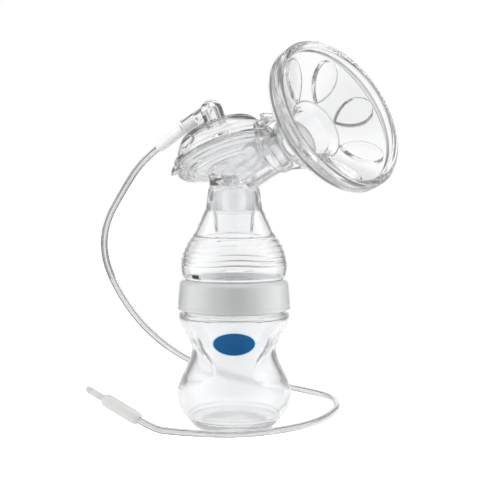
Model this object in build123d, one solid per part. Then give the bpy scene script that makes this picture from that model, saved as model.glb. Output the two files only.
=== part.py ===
from build123d import *
import os
from math import cos, hypot, radians, sin, tan

# An electric breast pump's milk collection set: a waisted bottle, a screw collar, a domed
# adapter with a pump body on top, a tilted diaphragm housing, a funnel with a silicone
# cushion, and the air tube with its plug. Origin: centre of the bottle's base.
# +Z is up, the funnel looks towards +X and the air port towards -X.

# ---- driving dimensions, mm ----------------------------------------------------------
HEAD_TILT = 27.0                     # funnel axis above the horizontal, degrees
AXIS_Z = 134.5                       # where the funnel axis crosses the bottle axis
FRONT_TURN = 44.5                    # bottle front, degrees from -Y towards +X
GAP = 0.3                            # clearance between moving soft pieces
FIT = 0.08                           # radial running clearance

BELLY_R = 31.8
BELLY_Z = 19.0
WAIST_R = 23.8
WAIST_Z = 46.0
SHOULDER_R = 30.6
SHOULDER_Z = 61.5
PAD_R = 27.6                         # front and back panels between the side scoops
PAD_HALF_WIDTH = 16.0
PAD_HALF_HEIGHT = 15.0
PAD_Z = 44.0
BASE_WALL = 3.0
NECK_R = 26.4                        # bottle neck, root of the thread
NECK_BORE_R = 23.6
NECK_Z = 64.5
RIM_Z = 75.6

THREAD_PITCH = 4.0
THREAD_TURNS = 0.75
THREAD_RISE = THREAD_PITCH * THREAD_TURNS
THREAD_DEPTH = 2.0
THREAD_Z = 66.6

COLLAR_LOW_Z = 66.0
COLLAR_TOP_Z = 82.5
COLLAR_LOW_R = 31.6
COLLAR_TOP_R = 30.4
COLLAR_BORE_R = 29.0
COLLAR_LIP_Z = 80.0
COLLAR_HOLE_R = 27.0

SEAL_THICK = 1.8
FLANGE_R = 27.8
FLANGE_THICK = 2.3

DOME_R = 29.6
DOME_WALL = 1.6
NECK_TOP_Z = 132.5
NECK_TOP_R = 14.2
NECK_TOP_BORE = 12.0
VENT_WIDTH = 5.8                     # air slot low in the dome
VENT_HEIGHT = 2.2
VENT_Z = 85.4

VALVE_R = 11.75
VALVE_BORE_R = 10.1
VALVE_TOP_Z = 132.0
VALVE_SLEEVE_Z = 118.4
VALVE_TIP_Z = 107.8
SPIGOT_R = VALVE_BORE_R - FIT
SPIGOT_BORE_R = 8.2
SPIGOT_Z = 120.5

DISC_R = 28.8                        # diaphragm housing flange
DISC_U = 2.0                         # housing axis, measured along the funnel axis
DISC_LOW = 14.5                      # heights along the housing axis
DISC_TOP = 17.0
HUB_R = 21.5
HUB_LOW = 10.8
BEAD_THICK = 1.6
CAP_LOW = DISC_TOP + BEAD_THICK
CAP_FLANGE_TOP = 21.3
CAP_SHOULDER_R = 22.3
CAP_SHOULDER = 31.5
CAP_TOP = 34.6
CAP_WALL = 1.6

BOSS_R = 6.2
BOSS_TOP = 44.5
PORT_R = 4.25
PORT_H = 46.0
PORT_END = -20.5
PORT_BORE_R = 3.3
CONNECTOR_R = 3.3
CONNECTOR_IN = -9.0
CONNECTOR_END = -45.0

BLOCK_R = 11.0                       # chamber beside the housing, funnel side
BLOCK_W = 3.8
BLOCK_END = 36.0
NOZZLE_END = 49.0                    # spout that the funnel pushes onto
SPOUT_R = 8.4
SPOUT_BORE_R = 6.4
STEM_BORE_R = SPOUT_R + FIT
STEM_R = 10.4
TUNNEL_R = 12.0                      # cushion tunnel, the part milk is drawn through
CONE_BACK = 64.3                     # distances along the funnel axis
CONE_FRONT = 80.0
CONE_R = 38.0
RIM_R = 42.0
RIM_FRONT = 85.7
CUSHION_WALL = 1.5
FUNNEL_WALL = 1.6

TUBE_R = 2.0
PLUG_R = 3.8
PLUG_LENGTH = 24.0
NOZZLE_R = 2.0
NOZZLE_LENGTH = 12.5
AIR_BORE_R = 1.1

os.makedirs("parts", exist_ok=True)

# ---- frames --------------------------------------------------------------------------
tilt = radians(HEAD_TILT)
FUNNEL_DIR = Vector(cos(tilt), 0, sin(tilt))
DISC_DIR = Vector(-sin(tilt), 0, cos(tilt))
CROSSING = Vector(0, 0, AXIS_Z)
front = radians(FRONT_TURN)
FRONT_DIR = Vector(sin(front), -cos(front), 0)
disc_plane = Plane(CROSSING + FUNNEL_DIR * DISC_U, x_dir=FUNNEL_DIR, z_dir=DISC_DIR)
funnel_plane = Plane(CROSSING, x_dir=DISC_DIR, z_dir=FUNNEL_DIR)


def head_point(along, up):
    """A point in the symmetry plane, from distances along the funnel and housing axes."""
    return CROSSING + FUNNEL_DIR * along + DISC_DIR * up


def turned(points, plane=Plane.XY):
    """A solid of revolution about the plane's normal, from (radius, height) corners."""
    outline = Polyline(*[(r, 0, z) for r, z in points], close=True)
    solid = revolve(make_face(outline), Axis.Z, 360)
    return plane.location * solid


def curved(spline_points, closing_points, plane=Plane.XY):
    """A solid of revolution whose outer side is a smooth curve."""
    side = Spline(*[(r, 0, z) for r, z in spline_points])
    corners = [spline_points[-1]] + closing_points + [spline_points[0]]
    rest = Polyline(*[(r, 0, z) for r, z in corners])
    solid = revolve(make_face(side + rest), Axis.Z, 360)
    return plane.location * solid


def rod(radius, start, end, plane=Plane.XY):
    """A round bar between two heights along the plane's normal."""
    bar = Cylinder(radius, end - start, align=(Align.CENTER, Align.CENTER, Align.MIN))
    return plane.location * Pos(0, 0, start) * bar


def thread(root_r, depth, start_z):
    """A screw ridge of triangular section on a wall; depth below 0 points inwards."""
    outer_reach = 0.2 if depth > 0 else -0.2
    half = 0.75
    path = Helix(THREAD_PITCH, THREAD_RISE, root_r, center=(0, 0, start_z))
    section = Polyline(
        (root_r - outer_reach, 0, start_z - half),
        (root_r + depth, 0, start_z - half * 0.35),
        (root_r + depth, 0, start_z + half * 0.35),
        (root_r - outer_reach, 0, start_z + half),
        close=True,
    )
    return sweep(make_face(section), path=path, is_frenet=True)


def save(shape, name):
    export_step(shape, f"parts/{name}.step")


# ---- bottle --------------------------------------------------------------------------
def bottle_side(offset, waist_r):
    """Belly, waist and shoulder of the bottle, drawn in by a wall thickness."""
    return [
        (BELLY_R - offset - 7.0, 3.6),
        (BELLY_R - offset - 1.6, 11.0),
        (BELLY_R - offset, BELLY_Z),
        (BELLY_R - offset - 2.6, 28.0),
        (waist_r - offset, WAIST_Z),
        (SHOULDER_R - offset - 1.2, SHOULDER_Z - 3.5),
        (SHOULDER_R - offset, SHOULDER_Z),
    ]


def make_bottle():
    top = [(SHOULDER_R, NECK_Z - 1.0), (NECK_R, NECK_Z), (NECK_R, RIM_Z), (0, RIM_Z), (0, 0), (20.0, 0)]
    shell = curved(bottle_side(0, WAIST_R), top)
    panelled = curved(bottle_side(0, PAD_R), top)
    panel = Plane(Vector(0, 0, PAD_Z), x_dir=FRONT_DIR.cross(Vector(0, 0, 1)), z_dir=FRONT_DIR)
    window = panel.location * extrude(Ellipse(PAD_HALF_WIDTH, PAD_HALF_HEIGHT), 2 * BELLY_R, both=True)
    shell = shell + (panelled & window)
    inner_top = [(NECK_BORE_R, NECK_Z), (NECK_BORE_R, RIM_Z + 1), (0, RIM_Z + 1), (0, BASE_WALL),
                 (19.0, BASE_WALL)]
    inside = curved(bottle_side(3.0, WAIST_R)[1:], inner_top)
    body = shell - inside
    return body + thread(NECK_R, THREAD_DEPTH, THREAD_Z)


bottle = make_bottle()
save(bottle, "bottle")

badge_plane = Plane(FRONT_DIR * (PAD_R - 2.0) + Vector(0, 0, 50.0), x_dir=FRONT_DIR.cross(Vector(0, 0, 1)),
                    z_dir=FRONT_DIR)
badge_prism = badge_plane.location * extrude(Ellipse(12.0, 6.4), 8.0)
badge_skin = curved(bottle_side(-0.3, PAD_R), [(0, SHOULDER_Z), (0, 3.6)])
badge = ((badge_skin & badge_prism) - bottle).solids().sort_by(SortBy.VOLUME)[-1]
save(badge, "bottle_badge")

seal_top = RIM_Z + SEAL_THICK
bottle_seal = turned([(NECK_BORE_R, RIM_Z), (NECK_R, RIM_Z), (NECK_R, seal_top), (NECK_BORE_R, seal_top)])
save(bottle_seal, "bottle_seal")

# ---- collar --------------------------------------------------------------------------
collar = turned([
    (COLLAR_BORE_R, COLLAR_LOW_Z),
    (COLLAR_LOW_R, COLLAR_LOW_Z),
    (COLLAR_TOP_R, COLLAR_TOP_Z - 2.0),
    (COLLAR_TOP_R - 1.4, COLLAR_TOP_Z),
    (COLLAR_HOLE_R, COLLAR_TOP_Z),
    (COLLAR_HOLE_R, COLLAR_LIP_Z),
    (COLLAR_BORE_R, COLLAR_LIP_Z),
])
collar = collar + thread(COLLAR_BORE_R, -THREAD_DEPTH, THREAD_Z + THREAD_PITCH / 2)
save(collar, "collar_ring")

# ---- adapter: flange, dome and neck ----------------------------------------------------
flange_top = seal_top + FLANGE_THICK
dome_side = [
    (COLLAR_HOLE_R - 1.0, COLLAR_TOP_Z - 0.6),
    (DOME_R - 0.9, 84.6),
    (DOME_R, 88.5),
    (28.8, 94.5),
    (26.5, 101.0),
    (22.8, 106.6),
]
adapter_top = [(22.4, 107.4), (16.2, 120.5), (15.6, 121.2), (NECK_TOP_R, NECK_TOP_Z), (0, NECK_TOP_Z)]
adapter_foot = [(0, seal_top), (FLANGE_R, seal_top), (FLANGE_R, flange_top),
                (COLLAR_HOLE_R - 1.0, flange_top)]
adapter_outer = curved(dome_side, adapter_top + adapter_foot)
inner_side = [(r - DOME_WALL, z) for r, z in dome_side[1:]]
adapter_inner = curved(inner_side, [(20.6, 107.4), (14.6, 120.5), (NECK_TOP_BORE, 126.0),
                                    (NECK_TOP_BORE, NECK_TOP_Z + 1), (0, NECK_TOP_Z + 1), (0, seal_top - 1),
                                    (NECK_BORE_R, seal_top - 1), (NECK_BORE_R + 0.6, COLLAR_TOP_Z)])
adapter = adapter_outer - adapter_inner
vent = Plane(Vector(0, 0, VENT_Z), x_dir=FRONT_DIR.cross(Vector(0, 0, 1)), z_dir=FRONT_DIR)
vent_slot = Rot(0, 0, -46) * vent.location * extrude(Rectangle(VENT_WIDTH, VENT_HEIGHT), 2 * DOME_R)
adapter = adapter - vent_slot
save(adapter, "bottle_adapter")

neck_seal = turned([
    (NECK_TOP_BORE, NECK_TOP_Z),
    (NECK_TOP_R - 0.4, NECK_TOP_Z),
    (NECK_TOP_R - 0.4, NECK_TOP_Z + 1.6),
    (NECK_TOP_BORE, NECK_TOP_Z + 1.6),
])
save(neck_seal, "neck_seal")

# ---- valve -----------------------------------------------------------------------------
sleeve = rod(VALVE_R, VALVE_SLEEVE_Z, VALVE_TOP_Z) - rod(VALVE_BORE_R, VALVE_SLEEVE_Z - 1, VALVE_TOP_Z + 1)
lip_across = Plane(Vector(0, 0, VALVE_TIP_Z), x_dir=FRONT_DIR, z_dir=Vector(0, 0, 1))
lip_top = lip_across.offset(VALVE_SLEEVE_Z - VALVE_TIP_Z)
bill_top = lip_top.location * Circle(VALVE_R).face()
bill_tip = lip_across.location * Ellipse(1.6, VALVE_R - 1.6).face()
bill = loft([bill_top, bill_tip])
hollow_top = lip_top.location * Circle(VALVE_BORE_R).face()
hollow_tip = lip_across.location * Ellipse(0.6, VALVE_R - 3.2).face()
bill = bill - loft([hollow_top, hollow_tip])
valve = sleeve + bill
save(valve, "duckbill_valve")

# ---- pump body ---------------------------------------------------------------------------
body_foot_z = NECK_TOP_Z + 1.6
housing = turned([
    (0, HUB_LOW - 2.6),
    (HUB_R - 6.0, HUB_LOW - 2.6),
    (HUB_R - 1.2, HUB_LOW - 0.4),
    (HUB_R, HUB_LOW + 1.0),
    (HUB_R, DISC_LOW - 1.6),
    (DISC_R - 2.2, DISC_LOW - 1.6),
    (DISC_R, DISC_LOW),
    (DISC_R, DISC_TOP),
    (0, DISC_TOP),
], disc_plane)
cone = turned([(0, -6.0), (3.5, -6.0), (14.0, HUB_LOW - 2.0), (0, HUB_LOW - 2.0)], disc_plane)
block_plane = Plane(head_point(0, BLOCK_W), x_dir=DISC_DIR, z_dir=FUNNEL_DIR)
block = rod(BLOCK_R, 0, BLOCK_END, block_plane)
block = block + rod(BLOCK_R + 1.0, BLOCK_END - 3.0, BLOCK_END, block_plane)
spout = rod(SPOUT_R, 0, NOZZLE_END, funnel_plane)
foot = rod(NECK_TOP_R - 0.4, body_foot_z, body_foot_z + 6.0) + rod(SPIGOT_R, SPIGOT_Z, body_foot_z + 1)
around_neck = rod(NECK_TOP_R + 3.0, SPIGOT_Z - 5.0, body_foot_z)
around_neck = around_neck - rod(SPIGOT_R, SPIGOT_Z - 6.0, body_foot_z + 1)
pump_body = housing + cone + block + spout + foot - around_neck

dish = turned([
    (0, HUB_LOW - 1.2),
    (HUB_R - 6.6, HUB_LOW - 1.2),
    (HUB_R - 2.0, HUB_LOW + 1.2),
    (HUB_R - 1.4, DISC_LOW - 0.2),
    (DISC_R - 4.2, DISC_TOP - 1.0),
    (DISC_R - 4.2, DISC_TOP + 1.0),
    (0, DISC_TOP + 1.0),
], disc_plane)
air_way = turned([(0, -3.0), (3.0, -3.0), (10.5, HUB_LOW - 1.4), (10.5, HUB_LOW), (0, HUB_LOW)], disc_plane)
milk_way = rod(SPOUT_BORE_R, 0, NOZZLE_END + 1, funnel_plane)
chamber = rod(BLOCK_R - 1.6, 2.0, BLOCK_END - 1.8, block_plane)
outlet = rod(SPIGOT_BORE_R, SPIGOT_Z - 1, AXIS_Z)
spout_wall = rod(SPOUT_R, 12.0, BLOCK_END, funnel_plane)
pump_body = pump_body - dish - air_way - (chamber - spout_wall) - milk_way - outlet

lug = disc_plane.location * Pos(DISC_R + 1.0, 0, (DISC_LOW + DISC_TOP) / 2) * Box(6.0, 9.0, 2.4)
lug_left = disc_plane.location * Rot(0, 0, 120) * Pos(DISC_R + 0.6, 0, 15.8) * Box(6.0, 10.0, 2.4)
lug_right = disc_plane.location * Rot(0, 0, -120) * Pos(DISC_R + 0.6, 0, 15.8) * Box(6.0, 10.0, 2.4)
pump_body = pump_body + lug + lug_left + lug_right
save(pump_body, "pump_body")

# ---- diaphragm and its cap -----------------------------------------------------------------
skin = 1.2
diaphragm = turned([
    (0, HUB_LOW + 0.4),
    (HUB_R - 8.0, HUB_LOW + 0.4),
    (HUB_R - 3.4, HUB_LOW + 2.4),
    (HUB_R - 2.6, DISC_LOW),
    (DISC_R - 5.0, DISC_TOP),
    (DISC_R - 1.0, DISC_TOP),
    (DISC_R - 1.0, CAP_LOW),
    (DISC_R - 5.4, CAP_LOW),
    (HUB_R - 3.8, DISC_LOW + 0.4),
    (HUB_R - 4.6, HUB_LOW + 3.3),
    (HUB_R - 8.4, HUB_LOW + 0.4 + skin),
    (0, HUB_LOW + 0.4 + skin),
], disc_plane)
save(diaphragm, "diaphragm")

cap_outer = turned([
    (0, CAP_LOW),
    (DISC_R, CAP_LOW),
    (DISC_R + 0.4, CAP_LOW + 0.4),
    (DISC_R + 0.4, CAP_FLANGE_TOP),
    (DISC_R - 1.8, CAP_FLANGE_TOP),
    (25.6, 26.0),
    (CAP_SHOULDER_R, CAP_SHOULDER - 0.6),
    (CAP_SHOULDER_R - 1.6, CAP_SHOULDER + 1.0),
    (15.0, CAP_TOP - 0.7),
    (0, CAP_TOP),
], disc_plane)
cap_inner = turned([
    (0, CAP_LOW - 1),
    (DISC_R - 4.4, CAP_LOW - 1),
    (DISC_R - 3.4, CAP_FLANGE_TOP - 1.2),
    (25.6 - CAP_WALL, 26.0),
    (CAP_SHOULDER_R - CAP_WALL, CAP_SHOULDER - 1.4),
    (15.0, CAP_TOP - CAP_WALL - 0.7),
    (0, CAP_TOP - CAP_WALL),
], disc_plane)
boss_shift = disc_plane.location * Pos(1.0, 0, 0)
boss = boss_shift * (Pos(0, 0, (CAP_TOP - 1 + BOSS_TOP) / 2) * Cylinder(BOSS_R, BOSS_TOP - CAP_TOP + 1))
boss = boss + boss_shift * Pos(0, 0, BOSS_TOP) * Sphere(BOSS_R)
port_plane = Plane(head_point(0, PORT_H), x_dir=DISC_DIR, z_dir=FUNNEL_DIR)
port = rod(PORT_R, PORT_END, DISC_U, port_plane)
port_lip = rod(PORT_R + 0.5, PORT_END, PORT_END + 1.4, port_plane)
socket_bore = rod(PORT_BORE_R, PORT_END - 1, CONNECTOR_IN, port_plane)
air_hole = rod(AIR_BORE_R * 2, CONNECTOR_IN - 1, DISC_U + 1, port_plane)
down_hole = boss_shift * Pos(0, 0, (CAP_TOP - 4 + BOSS_TOP) / 2)
down_hole = down_hole * Cylinder(AIR_BORE_R * 2, BOSS_TOP - CAP_TOP + 4)
cap = cap_outer - cap_inner
cap = cap + boss + port + port_lip - socket_bore - air_hole - down_hole
cap_tab = disc_plane.location * Pos(DISC_R + 3.4, 0, CAP_LOW + 1.35) * Box(13.0, 8.0, 2.7)
thumb = disc_plane.location * Pos(DISC_R + 8.6, 0, CAP_LOW + 2.4) * Box(2.4, 10.0, 4.8)
cap = cap + (cap_tab - cap_inner) + thumb
for side in (-90, 90):
    oval = disc_plane.location * Rot(0, 0, side) * Pos(24.0, 0, 24.6) * Rot(0, 64, 0)
    cap = cap + (oval * extrude(Ellipse(3.2, 5.4), 3.2) - cap_inner)
save(cap, "diaphragm_cap")

connector = rod(CONNECTOR_R, CONNECTOR_END, CONNECTOR_IN, port_plane)
connector = connector - rod(AIR_BORE_R, CONNECTOR_END - 1, CONNECTOR_IN + 1, port_plane)
save(connector, "tube_connector")

# ---- funnel and cushion ----------------------------------------------------------------------
cone_run = CONE_FRONT - CONE_BACK
cone_slant = hypot(CONE_R - TUNNEL_R, cone_run)
radial_step = cone_run / cone_slant
axial_step = (CONE_R - TUNNEL_R) / cone_slant


def cone_edge(depth):
    """Two points of the funnel's cone, moved back by a depth at right angles to it."""
    return [
        (TUNNEL_R + radial_step * depth, CONE_BACK - axial_step * depth),
        (CONE_R + radial_step * depth, CONE_FRONT - axial_step * depth),
    ]


cushion_back = cone_edge(CUSHION_WALL)
funnel_front = cone_edge(CUSHION_WALL + GAP)
funnel_back = cone_edge(CUSHION_WALL + GAP + FUNNEL_WALL)
sleeve_r = TUNNEL_R + 1.2
tunnel_start = 52.0
cushion = turned([
    (TUNNEL_R, tunnel_start),
    (TUNNEL_R, CONE_BACK),
    (CONE_R, CONE_FRONT),
    (CONE_R - 0.2, RIM_FRONT - 1.6),
    (CONE_R + 0.8, RIM_FRONT - 0.4),
    (CONE_R + 2.0, RIM_FRONT),
    (RIM_R - 1.0, RIM_FRONT - 0.7),
    (RIM_R, RIM_FRONT - 2.2),
    (RIM_R, CONE_FRONT - 2.4),
    (RIM_R - 1.0, CONE_FRONT - 3.4),
    (RIM_R - 1.4, CONE_FRONT - 3.4),
    (RIM_R - 1.4, CONE_FRONT + 2.2),
    (cushion_back[1][0] + 0.4, cushion_back[1][1] + 0.6),
    cushion_back[1],
    (sleeve_r, cushion_back[0][1] + (sleeve_r - cushion_back[0][0]) * cone_run / (CONE_R - TUNNEL_R)),
    (sleeve_r, tunnel_start),
], funnel_plane)
save(cushion, "massage_cushion")

shell_r = sleeve_r + GAP
slope = cone_run / (CONE_R - TUNNEL_R)
funnel_rim_r = RIM_R - 1.4 - GAP
funnel = turned([
    (STEM_BORE_R, BLOCK_END + GAP),
    (STEM_R, BLOCK_END + GAP),
    (STEM_R + 0.6, BLOCK_END + 5.0),
    (shell_r + FUNNEL_WALL, tunnel_start - 1.0),
    (shell_r + FUNNEL_WALL, funnel_back[0][1] + (shell_r + FUNNEL_WALL - funnel_back[0][0]) * slope),
    funnel_back[1],
    (funnel_rim_r, funnel_back[1][1] + 0.4),
    (funnel_rim_r, CONE_FRONT + 0.6),
    (funnel_front[1][0] + 0.2, funnel_front[1][1] + 0.2),
    (shell_r, funnel_front[0][1] + (shell_r - funnel_front[0][0]) * slope),
    (shell_r, tunnel_start - GAP),
    (STEM_BORE_R, NOZZLE_END + 0.8),
], funnel_plane)
save(funnel, "funnel")

# ---- air tube and plug --------------------------------------------------------------------------
tube_start = head_point(CONNECTOR_END, PORT_H)
route = [
    tube_start,
    tube_start - FUNNEL_DIR * 17,
    Vector(-86, -7, 129),
    Vector(-98, -11, 109),
    Vector(-103, -8, 88),
    Vector(-101, 2, 66),
    Vector(-94, 16, 44),
    Vector(-84, 36, 25),
    Vector(-71, 60, 12),
    Vector(-52, 80, 6.5),
    Vector(-29, 91, 3.2),
    Vector(-6, 90, 2.4),
    Vector(13, 76, 2.2),
    Vector(26, 54, 2.2),
    Vector(35, 29, 2.2),
    Vector(34.5, 2.5, 2.2),
    Vector(24.2, -23, 2.2),
    Vector(4.5, -37, 2.3),
    Vector(-6.5, -41.5, 2.2),
    Vector(-16.4, -44.8, 2.3),
    Vector(-26.0, -47.9, 6.6),
]
corners = []
for before, here, after in zip(route, route[1:], route[2:]):
    turn = (here - before).get_angle(after - here)
    shorter = min((here - before).length, (after - here).length)
    corners.append(0.45 * shorter / tan(radians(turn) / 2))
path = FilletPolyline(*route, radius=corners)
start_plane = Plane(route[0], z_dir=route[1] - route[0])
air_tube = sweep(start_plane.location * Circle(TUBE_R).face(), path=path)
save(air_tube, "air_tube")

plug_dir = (route[-1] - route[-2]).normalized()
plug_plane = Plane(route[-1], z_dir=plug_dir)
plug = turned([
    (0, 0),
    (3.2, 0),
    (PLUG_R, 3.0),
    (PLUG_R, PLUG_LENGTH - 3.0),
    (PLUG_R - 0.8, PLUG_LENGTH),
    (0, PLUG_LENGTH),
], plug_plane)
save(plug, "plug_grip")
nozzle = turned([
    (0.7, PLUG_LENGTH),
    (NOZZLE_R, PLUG_LENGTH),
    (NOZZLE_R, PLUG_LENGTH + NOZZLE_LENGTH),
    (0.7, PLUG_LENGTH + NOZZLE_LENGTH),
], plug_plane)
save(nozzle, "plug_nozzle")
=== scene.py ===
from math import acos, cos, degrees, pi, radians, sin, sqrt, tan

import bmesh
import bpy
import numpy as np
from mathutils import Matrix, Vector


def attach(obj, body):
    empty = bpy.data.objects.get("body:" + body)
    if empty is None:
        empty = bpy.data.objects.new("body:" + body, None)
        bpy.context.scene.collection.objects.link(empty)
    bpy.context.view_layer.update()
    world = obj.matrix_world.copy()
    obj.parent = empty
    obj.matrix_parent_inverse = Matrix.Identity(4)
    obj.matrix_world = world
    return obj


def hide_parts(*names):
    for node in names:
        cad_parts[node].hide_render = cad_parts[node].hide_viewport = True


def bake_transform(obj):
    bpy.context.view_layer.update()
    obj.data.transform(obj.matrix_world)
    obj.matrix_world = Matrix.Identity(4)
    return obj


# A breast pump's milk collection set in clear plastic, on a pale studio table. Lengths are
# in millimetres until a mesh is made, in the frame of the CAD: origin under the bottle,
# +Z up, the funnel looks towards +X. "along" runs up the funnel's axis and "up" along the
# axis of the diaphragm housing.
MM = 0.001

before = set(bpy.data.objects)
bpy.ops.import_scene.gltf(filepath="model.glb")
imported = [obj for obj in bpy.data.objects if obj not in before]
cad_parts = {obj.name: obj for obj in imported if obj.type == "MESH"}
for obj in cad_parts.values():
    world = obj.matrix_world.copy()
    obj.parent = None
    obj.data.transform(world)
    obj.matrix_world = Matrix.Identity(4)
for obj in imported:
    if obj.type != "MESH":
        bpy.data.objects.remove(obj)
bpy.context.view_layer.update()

# ---- the frames that the CAD is built on -----------------------------------------------
HEAD_TILT = radians(27.0)
FRONT_TURN = radians(44.5)
AXIS_Z = 134.5
DISC_ALONG = 2.0
FUNNEL_DIR = Vector((cos(HEAD_TILT), 0, sin(HEAD_TILT)))
DISC_DIR = Vector((-sin(HEAD_TILT), 0, cos(HEAD_TILT)))
CROSSING = Vector((0, 0, AXIS_Z))
FRONT_DIR = Vector((sin(FRONT_TURN), -cos(FRONT_TURN), 0))
RIGHT_DIR = Vector((cos(FRONT_TURN), sin(FRONT_TURN), 0))
UP = Vector((0, 0, 1))


def head_point(along, up):
    """A point in the head's plane of symmetry."""
    return CROSSING + FUNNEL_DIR * along + DISC_DIR * up


def plane(origin, x_dir, z_dir):
    """A frame with its own x and z directions, as a matrix in millimetres."""
    x_dir, z_dir = Vector(x_dir).normalized(), Vector(z_dir).normalized()
    made = Matrix((x_dir, z_dir.cross(x_dir), z_dir)).transposed().to_4x4()
    made.translation = Vector(origin)
    return made


BOTTLE = plane((0, 0, 0), RIGHT_DIR, UP)
WORLD = plane((0, 0, 0), (1, 0, 0), UP)
DISC = plane(head_point(DISC_ALONG, 0), FUNNEL_DIR, DISC_DIR)
FUNNEL = plane(CROSSING, DISC_DIR, FUNNEL_DIR)

# ---- camera ----------------------------------------------------------------------------
CAMERA_AWAY = 700.0
CAMERA_HEIGHT = 159.0
CAMERA_PITCH = radians(4.5)
CAMERA_YAW = radians(0.27)
CAMERA_LENS = 95.1

camera = bpy.data.objects.new("camera", bpy.data.cameras.new("camera"))
bpy.context.scene.collection.objects.link(camera)
bpy.context.scene.camera = camera
camera.data.lens = CAMERA_LENS
camera.data.sensor_width = 36.0
camera.location = (FRONT_DIR * CAMERA_AWAY + UP * CAMERA_HEIGHT) * MM
looking = -FRONT_DIR * cos(CAMERA_YAW) + RIGHT_DIR * sin(CAMERA_YAW)
looking = looking * cos(CAMERA_PITCH) - UP * sin(CAMERA_PITCH)
camera.rotation_mode = "QUATERNION"
camera.rotation_quaternion = looking.to_track_quat("-Z", "Y")

# ---- mesh tools ------------------------------------------------------------------------
SEGMENTS = 160
FINE_SEGMENTS = 216
SMALL_SEGMENTS = 96
TINY_SEGMENTS = 64


def smooth(points, steps=8):
    """A smooth curve through points: a natural cubic spline over their chord lengths."""
    knots = np.array(points, float)
    runs = np.linalg.norm(np.diff(knots, axis=0), axis=1)
    count = len(knots)
    system = np.eye(count)
    right = np.zeros_like(knots)
    for i in range(1, count - 1):
        system[i, i - 1:i + 2] = runs[i - 1], 2 * (runs[i - 1] + runs[i]), runs[i]
        right[i] = 6 * ((knots[i + 1] - knots[i]) / runs[i] - (knots[i] - knots[i - 1]) / runs[i - 1])
    bend = np.linalg.solve(system, right)
    made = []
    for i, run in enumerate(runs):
        for t in np.arange(steps) / steps:
            s = 1 - t
            swing = (s ** 3 - s) * bend[i] + (t ** 3 - t) * bend[i + 1]
            made.append(s * knots[i] + t * knots[i + 1] + swing * run * run / 6)
    return [tuple(p) for p in made] + [tuple(knots[-1])]


def rounded(corners, fillet=0.4):
    """A closed outline with rounded corners, from (radius, height) or (radius, height, fillet)."""
    made = []
    count = len(corners)
    for i, corner in enumerate(corners):
        here = np.array(corner[:2], float)
        size = corner[2] if len(corner) > 2 else fillet
        back = np.array(corners[i - 1][:2], float) - here
        ahead = np.array(corners[(i + 1) % count][:2], float) - here
        room = min(np.linalg.norm(back), np.linalg.norm(ahead))
        if room < 1e-6:
            continue
        back /= np.linalg.norm(back)
        ahead /= np.linalg.norm(ahead)
        angle = acos(max(-1.0, min(1.0, float(back @ ahead))))
        turn = pi - angle
        if size == 0 or here[0] < 1e-6 or turn < radians(4):
            made.append(tuple(here))
            continue
        cut = min(size / tan(angle / 2), 0.45 * room)
        radius = cut * tan(angle / 2)
        middle = (back + ahead) / np.linalg.norm(back + ahead)
        centre = here + middle * radius / sin(angle / 2)
        first = here + back * cut - centre
        last = here + ahead * cut - centre
        steps = max(2, int(degrees(turn) / 15))
        for k in range(steps + 1):
            share = k / steps
            arm = (sin((1 - share) * turn) * first + sin(share * turn) * last) / sin(turn)
            made.append(tuple(centre + arm))
    return made


def new_piece(name, points, faces, at=None):
    """A mesh object from points in millimetres, with outward normals and smooth shading."""
    co = np.array(points, float)
    if at is not None:
        turn = np.array(at)
        co = co @ turn[:3, :3].T + turn[:3, 3]
    mesh = bpy.data.meshes.new(name)
    mesh.from_pydata((co * MM).tolist(), [], faces)
    sheet = bmesh.new()
    sheet.from_mesh(mesh)
    bmesh.ops.recalc_face_normals(sheet, faces=sheet.faces)
    sheet.to_mesh(mesh)
    sheet.free()
    piece = bpy.data.objects.new(name, mesh)
    bpy.context.scene.collection.objects.link(piece)
    shade(piece)
    return piece


def shade(piece, angle=32.0):
    """Smooth shading, with the edges sharper than an angle kept crisp."""
    piece.data.shade_smooth()
    piece.data.set_sharp_from_angle(angle=radians(angle))


def lathe(name, outline, at=WORLD, segments=SEGMENTS, shape=None):
    """A closed outline of (radius, height) turned about an axis. shape(turn, radius, height)
    gives local x, y and z where the piece isn't round."""
    turns = np.arange(segments) * 2 * pi / segments
    points = []
    rings = []
    for radius, height in outline:
        around = turns if radius > 1e-6 else turns[:1]
        rings.append(range(len(points), len(points) + len(around)))
        r = np.full(len(around), radius)
        z = np.full(len(around), height)
        if shape is None:
            local = (r * np.cos(around), r * np.sin(around), z)
        else:
            local = shape(around, r, z)
        points.extend(np.stack(local, axis=1).tolist())
    faces = []
    for low, high in zip(rings, rings[1:] + rings[:1]):
        for i in range(segments):
            j = (i + 1) % segments
            if len(low) > 1 and len(high) > 1:
                faces.append((low[i], low[j], high[j], high[i]))
            elif len(low) > 1:
                faces.append((low[i], low[j], high[0]))
            elif len(high) > 1:
                faces.append((low[0], high[j], high[i]))
    return new_piece(name, points, faces, at)


def rod(name, radius, start, end, at, fillet=0.3, segments=SMALL_SEGMENTS):
    """A round bar along the plane's z, with rounded ends."""
    corners = [(0, start), (radius, start, fillet), (radius, end, fillet), (0, end)]
    return lathe(name, rounded(corners), at, segments)


def block(name, size, at, fillet=0.5):
    """A box centred on a plane, with rounded edges."""
    sheet = bmesh.new()
    bmesh.ops.create_cube(sheet, size=1.0)
    bmesh.ops.scale(sheet, vec=size, verts=sheet.verts)
    edges = list(sheet.edges)
    bmesh.ops.bevel(sheet, geom=edges, offset=fillet, segments=4, profile=0.5, affect="EDGES")
    sheet.verts.ensure_lookup_table()
    points = [v.co[:] for v in sheet.verts]
    faces = [[v.index for v in f.verts] for f in sheet.faces]
    sheet.free()
    return new_piece(name, points, faces, at)


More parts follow.
